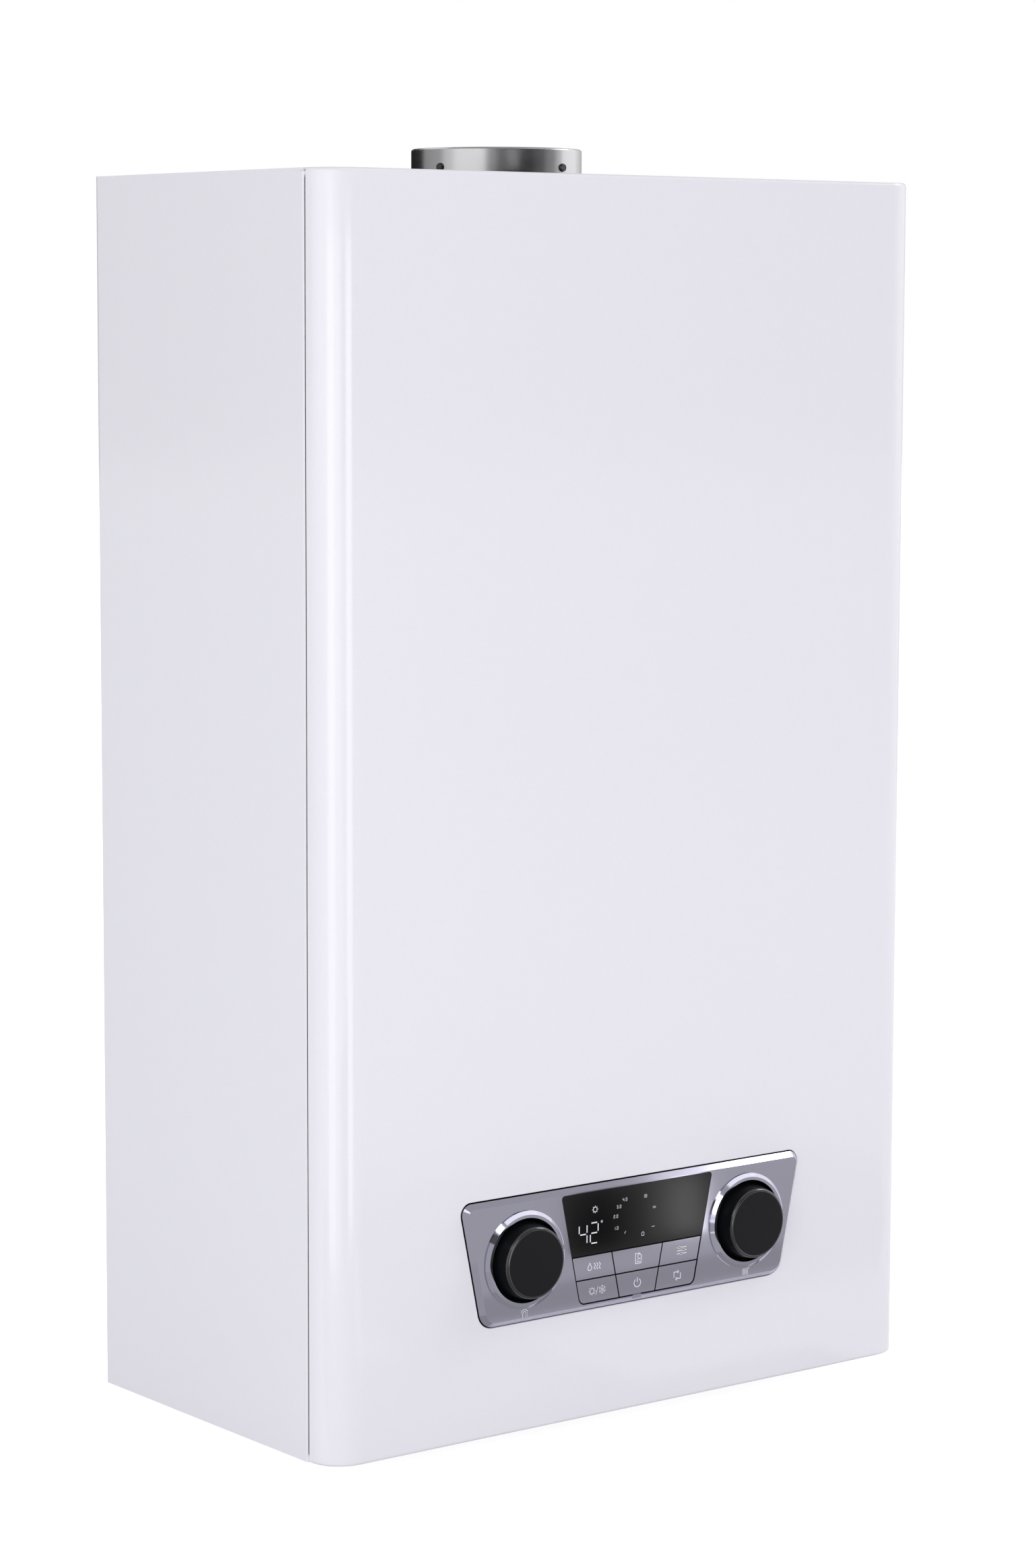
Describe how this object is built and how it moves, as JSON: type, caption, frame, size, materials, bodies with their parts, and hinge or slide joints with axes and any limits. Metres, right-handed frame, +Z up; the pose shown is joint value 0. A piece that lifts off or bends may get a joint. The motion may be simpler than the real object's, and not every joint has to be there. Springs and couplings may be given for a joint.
{
  "type": "wall-hung gas boiler",
  "caption": "White wall-hung gas boiler with a pull-off front cover, silver control panel with knobs, push buttons and dark display, and a round flue collar on top.",
  "frame": {"origin": "on the wall, midway between the two wall bolts", "axes": "+Z up, +Y into the wall, so the front faces -Y; +X to the right seen from the front"},
  "size_m": [0.42, 0.244, 0.7275],
  "materials": {
    "white_enamel": "white powder coat",
    "zinc_sheet": "galvanised",
    "stainless": "brushed",
    "silver_plastic": "satin silver",
    "black_gloss": "gloss",
    "black_plastic": "matt",
    "rubber_seal": "matt",
    "board": "satin",
    "copper": "bright",
    "brass_fitting": "turned",
    "aluminium_cast": "cast",
    "iron_cast": "painted",
    "vessel_paint": "red paint",
    "ceramic": "glazed",
    "red_plastic": "satin"
  },
  "bodies": {
    "case": {"air_pressure_switch": "black_plastic", "board_switches": "board", "bottom_panel": "zinc_sheet", "burner": "stainless", "button_mat": "rubber_seal", "cable_gland": "black_plastic", "chamber_brackets": "zinc_sheet", "collar_gasket": "rubber_seal", "collar_screws": "stainless", "combustion_chamber": "aluminium_cast", "control_bezel": "silver_plastic", "control_board": "board", "control_box": "black_plastic", "cover_clips": "black_plastic", "cover_gasket": "rubber_seal", "display_lens": "black_gloss", "display_module": "board", "diverter_motor": "black_plastic", "diverter_valve": "brass_fitting", "expansion_vessel": "vessel_paint", "fan_housing": "zinc_sheet", "fan_motor": "aluminium_cast", "fan_plate": "zinc_sheet", "filling_tap": "brass_fitting", "flow_pipe": "copper", "flue_collar": "stainless", "flue_hood": "zinc_sheet", "flue_socket": "stainless", "gas_connector": "brass_fitting", "gas_manifold": "aluminium_cast", "gas_pipe": "copper", "gas_valve": "aluminium_cast", "heat_exchanger": "copper", "heating_connectors": "brass_fitting", "ignition_electrodes": "ceramic", "left_side_panel": "white_enamel", "plate_exchanger": "stainless", "pump_body": "iron_cast", "pump_motor": "iron_cast", "rear_panel": "zinc_sheet", "relief_valve": "brass_fitting", "return_pipe": "copper", "right_side_panel": "white_enamel", "top_panel": "white_enamel", "wall_bracket": "zinc_sheet", "water_connectors": "brass_fitting", "water_pipes": "copper"},
    "cover": {"front_cover": "white_enamel", "cover_studs": "stainless"},
    "hot_water_dial": {"dhw_knob": "black_plastic"},
    "heating_dial": {"heating_knob": "black_plastic"},
    "fan_wheel": {"fan_impeller": "black_plastic"},
    "relief_handle": {"relief_knob": "red_plastic"},
    "filling_grip": {"filling_handle": "black_plastic"},
    "comfort_key": {"comfort_button": "silver_plastic"},
    "service_key": {"service_button": "silver_plastic"},
    "mode_key": {"mode_button": "silver_plastic"},
    "season_key": {"season_button": "silver_plastic"},
    "power_key": {"power_button": "silver_plastic"},
    "reset_key": {"reset_button": "silver_plastic"}
  },
  "joints": [
    {"name": "cover_pull", "type": "slide", "parent": "case", "child": "cover", "axis": [0, -1, 0], "range_m": [0, 0.35]},
    {"name": "hot_water_turn", "type": "hinge", "parent": "case", "child": "hot_water_dial", "pos_m": [-0.081, -0.23, -0.5316], "axis": [0, -1, 0], "continuous": true},
    {"name": "heating_turn", "type": "hinge", "parent": "case", "child": "heating_dial", "pos_m": [0.081, -0.23, -0.5316], "axis": [0, -1, 0], "continuous": true},
    {"name": "fan_spin", "type": "hinge", "parent": "case", "child": "fan_wheel", "pos_m": [-0.0305, -0.099, -0.04], "axis": [0, -1, 0], "continuous": true},
    {"name": "relief_turn", "type": "hinge", "parent": "case", "child": "relief_handle", "pos_m": [0.18016, -0.12, -0.56288], "axis": [0, -1, 0], "range_deg": [0, 90]},
    {"name": "filling_turn", "type": "hinge", "parent": "case", "child": "filling_grip", "pos_m": [0.0975, -0.14, -0.62], "axis": [0, 0, 1], "range_deg": [0, 180]},
    {"name": "comfort_press", "type": "slide", "parent": "case", "child": "comfort_key", "axis": [0, 1, 0], "range_m": [0, 0.0007], "stiffness_N_per_m": 800},
    {"name": "service_press", "type": "slide", "parent": "case", "child": "service_key", "axis": [0, 1, 0], "range_m": [0, 0.0007], "stiffness_N_per_m": 800},
    {"name": "mode_press", "type": "slide", "parent": "case", "child": "mode_key", "axis": [0, 1, 0], "range_m": [0, 0.0007], "stiffness_N_per_m": 800},
    {"name": "season_press", "type": "slide", "parent": "case", "child": "season_key", "axis": [0, 1, 0], "range_m": [0, 0.0007], "stiffness_N_per_m": 800},
    {"name": "power_press", "type": "slide", "parent": "case", "child": "power_key", "axis": [0, 1, 0], "range_m": [0, 0.0007], "stiffness_N_per_m": 800},
    {"name": "reset_press", "type": "slide", "parent": "case", "child": "reset_key", "axis": [0, 1, 0], "range_m": [0, 0.0007], "stiffness_N_per_m": 800}
  ]
}
